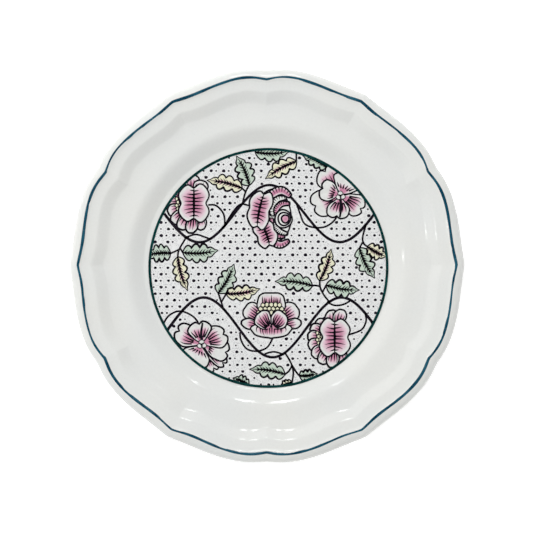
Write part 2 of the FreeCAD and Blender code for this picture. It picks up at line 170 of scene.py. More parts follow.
def wave(angle):
    """How far the rim's outline swings outward at an angle in degrees."""
    from_point = angle % (2 * HALF_LOBE)
    from_point = min(from_point, 2 * HALF_LOBE - from_point)
    from_middle = from_point - HALF_LOBE / 2
    return WAVE_HEIGHT * math.sin(WAVE_RATE * from_middle + WAVE_GAIN * from_middle ** 3)


def on_plate(radius, height, share, angle):
    """The point at a place of the profile, at an angle in degrees."""
    reach = radius + share * wave(angle)
    return *polar(reach, math.radians(angle)), height


def polar(reach, turn):
    """The point at a distance and at an angle in radians."""
    return reach * math.cos(turn), reach * math.sin(turn)


def uneven(value, waves, turn):
    """A value changed a little by waves round the plate, at an angle in radians."""
    for height, count, start in waves:
        value += height * math.sin(count * turn + start)
    return value


def turned_angle(step, steps):
    """The angle of one of the steps round the plate, in degrees. Every crease falls on a step."""
    wedge, place = divmod(step, steps)
    return HALF_LOBE * (wedge + 0.5 - 0.5 * math.cos(math.pi * place / steps))


def profile_point(profile, ways, index, gap, t, inset):
    """Radius, height and wave share at a fraction t of one stretch of a profile."""
    point = []
    along = []
    for a, b, way_a, way_b in zip(profile[index], profile[index + 1], ways[index], ways[index + 1]):
        rise = b - a
        ease_a = gap * way_a
        ease_b = gap * way_b
        point.append(
            a + t * ease_a + t * t * (3 * rise - 2 * ease_a - ease_b) + t ** 3 * (ease_a + ease_b - 2 * rise)
        )
        along.append(
            ease_a + 2 * t * (3 * rise - 2 * ease_a - ease_b) + 3 * t * t * (ease_a + ease_b - 2 * rise)
        )
    length = math.hypot(along[0], along[1])
    return point[0] + inset * along[1] / length, point[1] - inset * along[0] / length, point[2]


def profile_rows(profile, start_way, end_way, inset, spacing):
    """Even rows along a smooth profile with given end directions, moved into the china by an inset."""
    gaps = [math.dist(here[:2], there[:2]) for here, there in zip(profile, profile[1:])]
    ways = [start_way]
    for before, here, after, gap_in, gap_out in zip(profile, profile[1:], profile[2:], gaps, gaps[1:]):
        ways.append([
            ((b - a) / gap_in * gap_out + (c - b) / gap_out * gap_in) / (gap_in + gap_out)
            for a, b, c in zip(before, here, after)
        ])
    ways.append(end_way)
    rows = []
    for index, gap in enumerate(gaps):
        steps = max(1, round(gap / spacing))
        last = index == len(gaps) - 1
        for step in range(steps + last):
            rows.append(profile_point(profile, ways, index, gap, step / steps, inset))
    return rows


def turned_piece(loops):
    """A closed skin round the plate through loops of rows. A loop of one row on the axis is a pole."""
    pieces = Pieces()
    for rows in loops:
        rings = []
        for radius, height, share in rows:
            if radius == 0:
                rings.append([pieces.add_points([(0.0, 0.0, height)])] * TURN_STEPS)
                continue
            ring = [
                on_plate(radius, height, share, turned_angle(step, WEDGE_STEPS))
                for step in range(TURN_STEPS)
            ]
            first = pieces.add_points(ring)
            rings.append(list(range(first, first + TURN_STEPS)))
        if rows[0][0] != 0:
            rings.append(rings[0])
        for low, high in zip(rings, rings[1:]):
            for step in range(TURN_STEPS):
                after = (step + 1) % TURN_STEPS
                corners = [low[step], low[after], high[after], high[step]]
                face = [c for i, c in enumerate(corners) if c not in corners[:i]]
                pieces.faces.append(face[::-1])
    return pieces


# ---- Materials ----

def new_material(name):
    """A node material, with its nodes, links and shader."""
    material = bpy.data.materials.new(name)
    material.use_nodes = True
    tree = material.node_tree
    shader = tree.nodes["Principled BSDF"]
    return material, tree, shader


def noise(tree, scale, detail=3.0, roughness=0.5):
    """A noise texture on the object's own coordinates."""
    where = tree.nodes.new("ShaderNodeTexCoord")
    texture = tree.nodes.new("ShaderNodeTexNoise")
    texture.inputs["Scale"].default_value = scale
    texture.inputs["Detail"].default_value = detail
    texture.inputs["Roughness"].default_value = roughness
    tree.links.new(where.outputs["Object"], texture.inputs["Vector"])
    return texture.outputs["Fac"]


def ramp(tree, value, stops):
    """Colours along a value, as (place, colour) stops."""
    node = tree.nodes.new("ShaderNodeValToRGB")
    elements = node.color_ramp.elements
    while len(elements) < len(stops):
        elements.new(0.5)
    for element, (place, colour) in zip(elements, stops):
        element.position = place
        element.color = (*colour, 1.0)
    tree.links.new(value, node.inputs["Fac"])
    return node.outputs["Color"]


def feed(tree, socket, value):
    """A number, a colour or another node's output, put into a socket."""
    if isinstance(value, bpy.types.NodeSocket):
        tree.links.new(value, socket)
    else:
        socket.default_value = value


def blended(tree, factor, first, second, mode="MIX"):
    """Two colours mixed. A factor is a number or a socket."""
    node = tree.nodes.new("ShaderNodeMix")
    node.data_type = "RGBA"
    node.blend_type = mode
    for place, value in ((0, factor), (6, first), (7, second)):
        feed(tree, node.inputs[place], value)
    return node.outputs[2]


def coordinates(tree, kind):
    """The X, Y and Z of a kind of coordinates, such as the object's own."""
    where = tree.nodes.new("ShaderNodeTexCoord")
    split = tree.nodes.new("ShaderNodeSeparateXYZ")
    tree.links.new(where.outputs[kind], split.inputs["Vector"])
    return split.outputs


def tint(tree):
    """The tint that each point of a piece carries."""
    node = tree.nodes.new("ShaderNodeAttribute")
    node.attribute_name = "tint"
    return node.outputs["Fac"]


def bumped(tree, shader, height, strength, distance):
    """A fine relief on a material, with its distance in metres."""
    bump = tree.nodes.new("ShaderNodeBump")
    bump.inputs["Strength"].default_value = strength
    bump.inputs["Distance"].default_value = distance
    tree.links.new(height, bump.inputs["Height"])
    tree.links.new(bump.outputs["Normal"], shader.inputs["Normal"])


def fired_gloss(tree, shader, colour):
    """A colour under the glassy, very slightly uneven surface that the whole face shares."""
    tree.links.new(colour, shader.inputs["Base Color"])
    shader.inputs["Roughness"].default_value = GLOSS_ROUGHNESS
    shader.inputs["IOR"].default_value = GLOSS_INDEX
    bumped(tree, shader, noise(tree, 140.0, 2.0), 0.25, 0.00008)


def glaze_material(name):
    """White glaze: a faint green-grey drift, fine mottling and rare pin specks."""
    material, tree, shader = new_material(name)
    drift = ramp(tree, noise(tree, 18.0, 2.0), [(0.35, GLAZE_COOL), (0.65, GLAZE_WARM)])
    mottle = ramp(tree, noise(tree, 600.0, 4.0), [(0.3, (0.975,) * 3), (0.7, WHITE)])
    specks = ramp(tree, noise(tree, 1400.0, 1.0), [(0.195, PIN_SPECK), (0.215, WHITE)])
    colour = blended(tree, 1.0, blended(tree, 1.0, drift, mottle, "MULTIPLY"), specks, "MULTIPLY")
    fired_gloss(tree, shader, colour)
    return material


def colour_material(name, stops, thinnest=0.9):
    """A fired colour: stops along the points' tint, uneven as a brush or a print leaves it."""
    material, tree, shader = new_material(name)
    laid = ramp(tree, tint(tree), stops)
    washed = ramp(tree, noise(tree, 260.0, 4.0, 0.6), [(0.35, (thinnest,) * 3), (0.65, WHITE)])
    fired_gloss(tree, shader, blended(tree, 1.0, laid, washed, "MULTIPLY"))
    return material


def line_material(name, dark, light, grain):
    """A painted line, thinner in some places than in others."""
    material, tree, shader = new_material(name)
    fired_gloss(tree, shader, ramp(tree, noise(tree, grain, 3.0), [(0.35, dark), (0.68, light)]))
    return material


def clay_material():
    """Bare fired clay, where the foot ring is wiped."""
    material, tree, shader = new_material("bare_clay")
    tree.links.new(ramp(tree, noise(tree, 900.0, 5.0, 0.7), CLAY_STOPS), shader.inputs["Base Color"])
    shader.inputs["Roughness"].default_value = 0.8
    bumped(tree, shader, noise(tree, 2500.0, 3.0), 0.5, 0.0001)
    return material


# ---- Print: drawing on the flat well, in millimetres from the print's middle ----

PRINT_CENTRE = (0.8, -1.35)
PRINT_RADIUS = 81.1
WELL_LINE_WIDTH = 1.8
TUCK = 0.5                  # how far colours run under the well line
GROUND_TOP = 8.02
DOT_TOP = 8.035
STEM_TOP = 8.045
MOTIF_TOP = 8.06            # the lowest leaf or petal
LAYER = 0.014               # from one petal to the petal over it
LINE_RISE = 0.007           # a petal's lines stand this much above its colour
WELL_LINE_TOP = 8.25

DOT_PITCH = 8.67            # along a row, from one large dot to the next
DOT_ROW = 4.47              # from one row to the next
DOT_SMALL_SHIFT = 0.395     # the small dot's place along the pitch
DOT_DRIFT = 0.45            # how far rows slip sideways, as DOT_DRIFT * sin(DOT_BEAT * row)
DOT_BEAT = 2.4
DOT_CLEARANCE = 1.1         # at least this from a dot's middle to the lines round it

STEM_WIDTH = 2.0
TENDRIL_WIDTH = 1.3
OUTLINE = 1.3
HATCH = 1.15

# This layout copies a particular printed design. It has to be replaced.

# The two long stems: mean height on the plate, swing, where a crest or trough lies, and pitch.
STEMS = [
    (37.4, 19.8, 0.9, 97.0),
    (-41.2, -20.6, 3.0, 95.0),
]

# Leaves: foot, tip and greatest half width.
GREEN_LEAVES = [
    ((-13.0, 57.0), (-22.0, 77.5), 6.3),
    ((-9.0, 80.0), (15.0, 80.5), 5.8),
    ((40.5, 69.5), (23.5, 78.0), 5.0),
    ((-67.5, 10.0), (-84.0, 8.5), 6.2),
    ((-59.0, 10.5), (-34.5, 12.0), 6.6),
    ((-34.5, -17.5), (-23.5, 2.5), 6.0),
    ((30.5, -12.5), (4.5, -9.5), 6.1),
    ((40.0, -12.0), (63.0, -15.5), 6.1),
    ((63.0, 13.5), (73.5, -7.5), 6.0),
    ((11.5, -73.5), (-13.0, -70.0), 5.6),
    ((21.5, -74.5), (34.0, -73.0), 4.2),
    ((-13.5, -81.0), (-24.5, -76.0), 4.2),
]
CREAM_LEAVES = [
    ((-18.0, 55.0), (-42.5, 60.5), 5.5),
    ((19.5, 73.5), (-2.0, 61.5), 5.6),
    ((-62.5, 7.5), (-55.5, -16.0), 5.2),
    ((-29.0, -18.0), (-5.5, -14.5), 5.4),
    ((35.5, -9.0), (43.5, 13.0), 5.2),
    ((68.5, 14.5), (82.0, 7.5), 5.2),
    ((16.5, -79.0), (8.0, -82.5), 3.0),
]

# Twigs and tendrils: the points that each passes through.
TWIGS = [
    [(-17.5, 45.5), (-15.8, 52.0), (-13.0, 57.5)],
    [(-15.5, 52.5), (-18.0, 55.0)],
    [(19.5, 80.0), (19.5, 73.5)],
    [(-57.0, 20.5), (-60.0, 15.5), (-62.0, 11.5), (-62.5, 7.5)],
    [(-61.0, 13.0), (-65.0, 11.0), (-67.5, 10.0)],
    [(-60.8, 13.5), (-59.0, 10.5)],
    [(-58.0, 20.5), (-50.5, 23.0), (-44.5, 21.5), (-39.5, 19.5)],
    [(67.5, 29.5), (65.2, 21.0), (66.0, 16.5), (68.5, 14.5)],
    [(65.2, 17.5), (63.0, 13.5)],
    [(-31.0, -28.0), (-32.8, -22.5), (-34.5, -17.5)],
    [(-32.2, -23.5), (-29.0, -18.0)],
    [(42.5, -24.0), (38.5, -19.0), (36.0, -14.0), (35.5, -9.0)],
    [(37.5, -17.0), (40.0, -12.0)],
    [(36.0, -13.0), (32.5, -12.3), (30.5, -12.5)],
    [(40.5, -23.5), (45.5, -26.0), (51.5, -25.5), (56.5, -23.0)],
    [(66.5, -30.5), (67.5, -36.5), (64.0, -43.0), (54.5, -46.5)],
    [(-2.5, -59.5), (4.0, -58.0), (11.0, -60.0)],
    [(11.5, -58.5), (15.8, -66.0), (17.3, -72.0), (16.5, -79.0)],
    [(16.3, -67.5), (14.5, -71.0), (11.5, -73.5)],
    [(16.3, -67.0), (19.0, -71.5), (21.5, -74.5)],
    [(-41.5, 43.5), (-36.0, 43.0), (-31.0, 37.5), (-30.0, 30.5), (-31.0, 27.0)],
    [(-30.5, 28.0), (-27.3, 34.0), (-22.5, 41.0), (-18.5, 44.0), (-13.5, 43.0)],
    [(19.5, 44.5), (21.8, 38.0), (25.0, 30.5), (31.5, 27.8), (39.5, 28.3), (46.0, 33.0), (49.5, 40.0)],
    [(-72.0, -38.0), (-68.5, -33.0), (-62.0, -30.0), (-55.0, -31.7), (-49.3, -36.3), (-46.5, -43.0)],
    [(-19.5, -44.5), (-18.7, -50.0), (-14.7, -56.0), (-7.7, -57.6), (-0.8, -55.0), (3.0, -49.0)],
]

chance = random.Random(11)
ink = Pieces()
rose = Pieces()
green = Pieces()
cream = Pieces()
covers = []


def near(value, spread):
    """A value changed at random by up to a share of itself."""
    return value * (1 + chance.uniform(-spread, spread))


def placed(middle, turn=0.0):
    """A way from a motif's own drawing plane to the print."""
    cosine = math.cos(math.radians(turn))
    sine = math.sin(math.radians(turn))

    def place(x, y):
        return middle[0] + x * cosine - y * sine, middle[1] + x * sine + y * cosine

    return place


def within(place, inner, turn=0.0):
    """The same for a petal inside a motif."""
    own = placed(inner, turn)
    return lambda x, y: place(*own(x, y))


def on_print(point, height):
    """A point of the print on the plate, held under the well line."""
    x, y = point
    reach = math.hypot(x, y)
    most = PRINT_RADIUS + TUCK
    if reach > most:
        x, y = x * most / reach, y * most / reach
    return x + PRINT_CENTRE[0], y + PRINT_CENTRE[1], height


def outside(points):
    """True where a patch lies wholly beyond the print."""
    return all(math.hypot(x, y) >= PRINT_RADIUS + TUCK for x, y in points)


def layer(order):
    """The height of a petal that lies over so many others."""
    return MOTIF_TOP + order * LAYER


def between(p, q, r, s, t):
    """A smooth value a fraction t of the way from q to r, with p before them and s after."""
    bend = (2 * p - 5 * q + 4 * r - s) * t * t
    twist = (3 * q - p - 3 * r + s) * t ** 3
    return 0.5 * (2 * q + (r - p) * t + bend + twist)


def through(points, steps=6):
    """A smooth path through points."""
    path = []
    for index in range(len(points) - 1):
        a = points[max(index - 1, 0)]
        b = points[index]
        c = points[index + 1]
        d = points[min(index + 2, len(points) - 1)]
        for step in range(steps):
            t = step / steps
            path.append(tuple(between(*places, t) for places in zip(a, b, c, d)))
    path.append(points[-1])
    return path


def stroke(path, start, end, top, middle=None):
    """An ink line along a path, from one width to another, or through a third in the middle."""
    if outside(path):
        return
    count = len(path)
    sections = []
    for index, (x, y) in enumerate(path):
        before = path[max(index - 1, 0)]
        after = path[min(index + 1, count - 1)]
        run = math.dist(before, after) or 1.0
        t = index / (count - 1)
        width = start + (end - start) * t
        if middle is not None:
            width += (middle - (start + end) / 2) * math.sin(math.pi * t)
        half = max(width, 0.07) / 2
        across = ((after[1] - before[1]) / run * half, (before[0] - after[0]) / run * half)
        left = (x - across[0], y - across[1])
        right = (x + across[0], y + across[1])
        sections.append([
            on_print(left, top), on_print(right, top),
            on_print(right, GROUND_TOP), on_print(left, GROUND_TOP),
        ])
    first = ink.add_points([point for section in sections for point in section])
    for index in range(count - 1):
        if outside(path[index:index + 2]):
            continue
        for side in range(4):
            a = first + 4 * index + side
            b = first + 4 * index + (side + 1) % 4
            ink.faces.append([a, b, b + 4, a + 4])
    ink.faces.append([first + 3, first + 2, first + 1, first])
    last = first + 4 * (count - 1)
    ink.faces.append([last, last + 1, last + 2, last + 3])


def sheet(pieces, at, dye, ts, vs, top):
    """A closed sheet of colour over the points at(t, v), with the tints dye(t, v)."""
    flat = [at(t, v) for t in ts for v in vs]
    if outside(flat):
        return
    rows = len(ts)
    columns = len(vs)
    shades = [dye(t, v) for t in ts for v in vs]
    upper = pieces.add_points([on_print(point, top) for point in flat], shades)
    lower = pieces.add_points([on_print(point, GROUND_TOP) for point in flat], shades)
    for row in range(rows - 1):
        for column in range(columns - 1):
            corners = [row * columns + column, row * columns + column + 1]
            corners += [corners[1] + columns, corners[0] + columns]
            if outside([flat[corner] for corner in corners]):
                continue
            pieces.faces.append([upper + corner for corner in corners])
            pieces.faces.append([lower + corner for corner in reversed(corners)])
    rim = list(range(columns))
    rim += [row * columns + columns - 1 for row in range(1, rows)]
    rim += [(rows - 1) * columns + column for column in range(columns - 2, -1, -1)]
    rim += [row * columns for row in range(rows - 2, 0, -1)]
    for a, b in zip(rim, rim[1:] + rim[:1]):
        pieces.faces.append([upper + b, upper + a, lower + a, lower + b])
    covers.append([flat[index] for index in rim])


def blob(pieces, outline, middle, top, width, shade=lambda share: 0.0):
    """A closed blob of colour with an ink outline. Its tint is shade(share of the way out)."""
    if outside(outline):
        return
    count = len(outline)
    hub = pieces.add_points([on_print(middle, top), on_print(middle, GROUND_TOP)], [shade(0.0)] * 2)
    loops = []
    for share in (0.4, 0.7, 0.88, 1.0):
        points = [
            on_print((middle[0] + share * (x - middle[0]), middle[1] + share * (y - middle[1])), top)
            for x, y in outline
        ]
        loops.append(pieces.add_points(points, [shade(share)] * count))
    base = pieces.add_points([on_print(point, GROUND_TOP) for point in outline])
    for index in range(count):
        after = (index + 1) % count
        pieces.faces.append([hub, loops[0] + index, loops[0] + after])
        pieces.faces.append([hub + 1, base + after, base + index])
        for inner, outer in zip(loops, loops[1:] + [base]):
            pieces.faces.append([inner + index, outer + index, outer + after, inner + after])
    covers.append(outline)
    ringed(outline, width, top + LINE_RISE)


def eased(value):
    """0 below 0, 1 above 1, and smooth between them."""
    value = min(max(value, 0.0), 1.0)
    return value * value * (3 - 2 * value)


def petal(
    place, top, length, half_width,
    widest=1.25, full=0.5, notch=0.0, bend=0.0, wash=(0.8, 0.72), strokes=7, root=0.1,
):
    """A petal from its foot at (0, 0) up to (0, length), with engraved lines that fan from its root.

    The wash is how far the colour reaches across and along the petal, as shares.
    """
    sway = chance.uniform(0, 6.28)

    def at(t, v):
        reach = half_width * math.sin(math.pi * min(t, 0.999) ** widest) ** full
        reach *= 1 + 0.045 * math.sin(11 * t + sway)
        return place(
            v * reach + bend * length * t * t,
            length * t * (1 - notch * (1 - abs(v)) ** 2 * t * t),
        )

    def dye(t, v):
        return eased((wash[0] - abs(v)) / 0.42) * eased((wash[1] - t) / 0.32) * eased((t + 0.12) / 0.2)

    ts = [0.015 + 0.97 * (0.5 - 0.5 * math.cos(math.pi * step / 20)) for step in range(21)]
    vs = [-1 + 2 * step / 12 for step in range(13)]
    sheet(rose, at, dye, ts, vs, top)

    line_top = top + LINE_RISE
    left = [at(t, -1) for t in ts]
    right = [at(t, 1) for t in ts]
    over = [at(ts[-1], v) for v in (-0.5, 0.0, 0.5)]
    stroke(left + over + right[::-1], 0.7, 0.8, line_top, middle=near(OUTLINE, 0.12))
    for index in range(strokes):
        v = -0.74 + 1.48 * index / (strokes - 1) + chance.uniform(-0.04, 0.04)
        start = root + chance.uniform(0, 0.06)
        end = start + near(0.9 * wash[1] - root, 0.16) * (1 - 0.25 * abs(v))
        path = [at(start + (end - start) * s, v * (0.8 + 0.2 * s)) for s in (0, 0.25, 0.5, 0.75, 1)]
        stroke(path, near(HATCH, 0.12), 0.15, line_top, middle=0.8 * HATCH)


def folded_petal(place, top, half_width, half_height, barbs=7, waist=0.12, vein_bend=0.0):
    """A petal folded along a strong vein, round (0, 0): four soft lobes, colour inside, curved barbs."""
    sway = chance.uniform(0, 6.28)
    count = 72

    def edge(turn):
        lobes = 1.12 - waist * abs(math.cos(2 * turn)) ** 6 + 0.03 * math.sin(3 * turn + sway)
        return half_width * math.cos(turn) * lobes, half_height * math.sin(turn) * lobes

    def bent(x, y):
        return place(x + vein_bend * (1 - (y / half_height) ** 2), y)

    outline = [bent(*edge(2 * math.pi * index / count)) for index in range(count)]
    blob(rose, outline, bent(0, 0), top, OUTLINE, lambda share: eased((0.84 - share) / 0.32))
    line_top = top + LINE_RISE
    vein = [bent(0, half_height * (-0.86 + 1.72 * step / 10)) for step in range(11)]
    stroke(vein, 0.6, 0.6, line_top, middle=1.7)
    for side in (-1, 1):
        for index in range(barbs):
            rise = -1 + 2 * index / (barbs - 1) + chance.uniform(-0.05, 0.05)
            foot = 0.66 * half_height * rise
            turn = math.radians(66 * rise)
            reach = near(0.68, 0.08)
            end_x, end_y = edge(turn if side > 0 else math.pi - turn)
            path = []
            for s in (0, 0.2, 0.4, 0.6, 0.8, 1):
                path.append(bent(reach * end_x * s, foot + (reach * end_y - foot) * s ** 1.8))
            stroke(path, 1.25, 0.15, line_top, middle=0.85)


def ribbon(place, top, spine, half_width, colour, hatch_side):
    """A curled petal's edge along a spine: a tapering band with short strokes from one side."""
    path = through(spine, 8)
    count = len(path)

    def at(index, v):
        before = path[max(index - 1, 0)]
        after = path[min(index + 1, count - 1)]
        run = math.dist(before, after)
        swell = math.sin(math.pi * (0.06 + 0.88 * index / (count - 1))) ** 0.5
        reach = v * half_width * swell
        x, y = path[index]
        return place(x - (after[1] - before[1]) / run * reach, y + (after[0] - before[0]) / run * reach)

    def dye(index, v):
        return colour * eased((0.8 - abs(v)) / 0.5)

    sheet(rose, at, dye, range(count), [-1 + step / 4 for step in range(9)], top)
    line_top = top + LINE_RISE
    left = [at(index, -1) for index in range(count)]
    right = [at(index, 1) for index in range(count)]
    ringed(left + right[::-1], OUTLINE, line_top)
    for index in range(2, count - 2, 2):
        inward = near(1.35, 0.2)
        line = [at(index, hatch_side * (1 - inward * share)) for share in (0.0, 0.5, 1.0)]
        stroke(line, near(HATCH, 0.12), 0.15, line_top)


LEAF_NOTCHES = (0.0, 0.27, 0.51, 0.72)     # where a leaf's lobes meet, along its length


def leaf_body(t, half_width):
    """Half the width of a leaf at a share of its length, before its lobes are cut."""
    return 0.94 * half_width * math.sin(math.pi * (0.1 + 0.76 * t) ** 0.9) ** 0.7


def leaf_reach(t, half_width, depth):
    """Half the width of a lobed leaf at a share of its length."""
    for low, high in zip(LEAF_NOTCHES, LEAF_NOTCHES[1:]):
        if low <= t < high:
            u = (t - low) / (high - low)
            start = 0.0 if low == 0 else 1 - depth
            floor = start + (1 - depth - start) * u
            return leaf_body(t, half_width) * (floor + (1.06 - floor) * math.sin(math.pi * u ** 1.2) ** 0.5)
    last = LEAF_NOTCHES[-1]
    u = (t - last) / (1 - last)
    swell = 0.18 * math.sin(math.pi * min(u * 1.5, 1.0))
    return leaf_body(last, half_width) * ((1 - depth) * (1 - u ** 1.25) + swell)


def leaf(foot, tip, half_width, pieces, bend=0.05):
    """A lobed leaf: colour a little inside its outline, a dark vein and close barbs."""
    length = math.dist(foot, tip)
    turn = math.degrees(math.atan2(tip[1] - foot[1], tip[0] - foot[0])) - 90
    place = placed(foot, turn)
    depth = near(0.5, 0.08)
    shift = {-1: chance.uniform(0.0, 0.05), 1: chance.uniform(0.0, 0.05)}

    def at(t, v, lobed=True):
        if not lobed:
            reach = leaf_body(t, half_width)
        else:
            half = -1 if v < 0 else 1
            share = min(t + shift[half] * math.sin(math.pi * t), 1.0)
            reach = leaf_reach(share, half_width, depth)
        return place(v * reach + bend * length * math.sin(math.pi * t), length * t)

    def dye(t, v):
        return eased((0.5 - abs(v)) / 0.4) * eased((1.0 - t) / 0.3)

    ts = [step / 72 for step in range(73)]
    vs = [-0.97, -0.75, -0.5, -0.3, -0.1, 0.1, 0.3, 0.5, 0.75, 0.97]
    sheet(pieces, at, dye, ts, vs, MOTIF_TOP)
    line_top = MOTIF_TOP + LINE_RISE
    for side, weight in ((-1, 1.1), (1, 0.9)):
        stroke([at(t, side) for t in ts], 0.9, 0.6, line_top, middle=near(weight * OUTLINE, 0.1))
    stroke([at(0.9 * s / 10, 0) for s in range(11)], 1.1, 0.4, line_top, middle=1.5)
    for side in (-1, 1):
        for index in range(9):
            start = 0.05 + 0.085 * index + chance.uniform(-0.01, 0.01)
            out = near(0.42, 0.2)
            path = [at(min(start + 0.09 * s ** 1.4, 0.95), side * out * s, False) for s in (0, 0.33, 0.66, 1)]
            stroke(path, 1.15 * HATCH, 0.15, line_top)


def oval(place, half_width, half_height, count=26, wobble=0.03):
    """The outline of an uneven oval."""
    sway = chance.uniform(0, 6.28)
    points = []
    for index in range(count):
        turn = 2 * math.pi * index / count
        reach = 1 + wobble * math.sin(3 * turn + sway)
        points.append(place(half_width * reach * math.cos(turn), half_height * reach * math.sin(turn)))
    return points


def ringed(outline, width, top):
    """An outline drawn all the way round."""
    stroke(outline + outline[:2], width * 0.8, width * 0.8, top, middle=width)


def seed(place, middle, top, size):
    """A cream stamen head with its outline."""
    outline = oval(within(place, middle), near(size, 0.1), near(size * 1.15, 0.1), 12)
    blob(cream, outline, place(*middle), top, 0.75)


def open_blossom(place, petals, stem_turn):
    """Open petals round a small white eye, seen from the front, with the stem drawn up to the eye."""
    for order, (turn, length, half_width, reach) in enumerate(petals):
        start = polar(1.5, math.radians(turn))
        petal(
            within(place, start, turn - 90), layer(order), length, half_width,
            widest=1.6, full=0.42, notch=0.12, bend=0.05, wash=(0.8, reach), strokes=6, root=0.2,
        )
    top = layer(len(petals))
    way = polar(1.0, math.radians(stem_turn))
    path = through([
        place(2.5 * way[0], 2.5 * way[1]),
        place(8 * way[0] - 0.7 * way[1], 8 * way[1] + 0.7 * way[0]),
        place(15 * way[0], 15 * way[1]),
    ])
    stroke(path, 2.0, TENDRIL_WIDTH, top)
    for turn in (95, 215, 335):
        middle = polar(1.6, math.radians(turn))
        bud = oval(within(place, middle), 1.8, 1.65, 14)
        blob(rose, bud, place(*middle), top + LAYER, 0.6)


def veined_blossom(place, top_petals):
    """A blossom seen from the side: one big folded petal over a fan of small ones."""
    fans = [(118, 15.5, 4.4), (140, 17.0, 4.6), (160, 18.0, 4.6), (182, 18.5, 4.6), (204, 19.0, 4.8)]
    fans += [(226, 20.0, 4.8), (246, 20.5, 4.6), (292, 19.5, 4.0), (268, 21.0, 4.2)]
    fans += top_petals
    for order, (turn, length, half_width) in enumerate(fans):
        start = polar(2.5, math.radians(turn))
        petal(
            within(place, start, turn - 90), layer(order), length - 2.5, half_width,
            widest=1.9, full=0.5, bend=0.07, wash=(0.85, 0.92), strokes=4, root=0.4,
        )
    top = layer(len(fans))
    for row in range(4):
        for column in range(2):
            seed(place, (-9.6 - 2.1 * column + 0.8 * (row % 2), 3.0 - 2.3 * row), top, 1.15)
    folded_petal(within(place, (0.2, 0.0)), top + LAYER, 10.6, 13.0, barbs=8, waist=0.3)


def petal_pair(place, order, foot, lean, length, half_width, bend=0.0, **drawn):
    """Two mirrored petals, one over the other, and the order of what comes over them."""
    for side in (-1, 1):
        petal(
            within(place, (side * foot[0], foot[1]), -side * lean), layer(order), length, half_width,
            bend=-side * bend, **drawn,
        )
        order += 1
    return order


def full_blossom(place):
    """A cupped blossom with a heap of stamens over its front petals."""
    order = petal_pair(
        place, 0, (3.0, -5.0), 54, 18.5, 6.6, widest=1.7, full=0.42, wash=(0.85, 0.88), strokes=6, root=0.35,
    )
    petal(
        within(place, (0.0, -3.0)), layer(order), 18.6, 9.8,
        widest=1.5, full=0.3, wash=(0.85, 0.94), strokes=9, root=0.5,
    )
    order = petal_pair(
        place, order + 1, (6.0, -7.5), 80, 15.0, 3.6, widest=1.4, full=0.5, wash=(0.85, 0.8), strokes=4,
    )
    petal(
        within(place, (0.0, -4.0), 180), layer(order), 11.5, 14.0,
        widest=1.05, full=0.42, notch=-0.06, wash=(0.8, 0.9), strokes=12,
    )
    order += 1
    for row, count in enumerate((7, 6, 5)):
        for column in range(count):
            arch = 0.35 * (1 - (2 * column / (count - 1) - 1) ** 2)
            seed(place, (2.85 * (column - (count - 1) / 2), 1.6 + 2.6 * row + arch), layer(order), 1.55)
    petal_pair(
        place, order + 1, (1.2, -9.0), 40, 13.0, 6.2,
        bend=0.1, widest=1.4, full=0.42, wash=(0.9, 0.9), strokes=6,
    )


def curled_blossom(place):
    """A half-open blossom from the side: folded petals over a bud of curled ones."""
    order = 0
    back = oval(within(place, (2.0, 0.0), -4), 13.0, 18.5, 44, 0.03)
    blob(rose, back, place(2.0, 0.0), MOTIF_TOP, OUTLINE)
    bands = [
        ([(-1.0, 9.0), (2.0, 15.5), (8.5, 18.0), (14.5, 14.0)], 2.9, 1.0, 1),
        ([(-1.0, -10.0), (2.0, -16.5), (7.5, -19.5), (13.5, -16.5)], 2.5, 1.0, -1),
        ([(2.0, 0.5), (2.0, 7.0), (5.5, 12.0), (11.5, 13.0)], 2.2, 0.0, 1),
        ([(1.5, -1.0), (1.5, -7.5), (4.5, -12.5), (10.5, -14.0)], 2.1, 1.0, -1),
        ([(4.5, 0.5), (5.0, 5.5), (8.5, 8.8), (14.0, 9.0)], 1.9, 1.0, 1),
        ([(4.5, -2.0), (4.5, -7.0), (7.5, -10.5), (12.5, -12.0)], 1.9, 0.0, -1),
    ]
    for spine, half_width, colour, hatch_side in bands:
        order += 1
        ribbon(place, layer(order), spine, half_width, colour, hatch_side)
    for radius, x, colour in ((6.0, 9.6, 0.0), (4.3, 10.2, 0.0), (2.6, 10.9, 1.0)):
        order += 1
        ring = oval(within(place, (x, -1.6)), radius, 1.05 * radius, 26)
        blob(rose, ring, place(x, -1.6), layer(order), OUTLINE, lambda share: colour * (1 - 0.4 * share))
    for middle, lean, half_width, half_height, vein_bend in (
        ((-4.0, -12.0), 24, 7.2, 9.8, 1.8),
        ((-5.8, 4.6), -12, 7.8, 13.0, -1.2),
    ):
        order += 1
        folded_petal(
            within(place, middle, lean), layer(order), half_width, half_height,
            barbs=8, waist=0.24, vein_bend=vein_bend,
        )


def patch(pieces, outline, top, shade):
    """A small closed patch of one tint."""
    count = len(outline)
    upper = pieces.add_points([on_print(point, top) for point in outline], [shade] * count)
    lower = pieces.add_points([on_print(point, GROUND_TOP) for point in outline], [shade] * count)
    pieces.faces.append([upper + index for index in range(count)])
    pieces.faces.append([lower + index for index in range(count - 1, -1, -1)])
    for index in range(count):
        after = (index + 1) % count
        pieces.faces.append([upper + after, upper + index, lower + index, lower + after])


def inside(point, outline):
    """True where a point lies inside a closed outline."""
    x, y = point
    crossings = 0
    for (ax, ay), (bx, by) in zip(outline, outline[1:] + outline[:1]):
        if (ay > y) != (by > y) and x < ax + (y - ay) * (bx - ax) / (by - ay):
            crossings += 1
    return crossings % 2 == 1


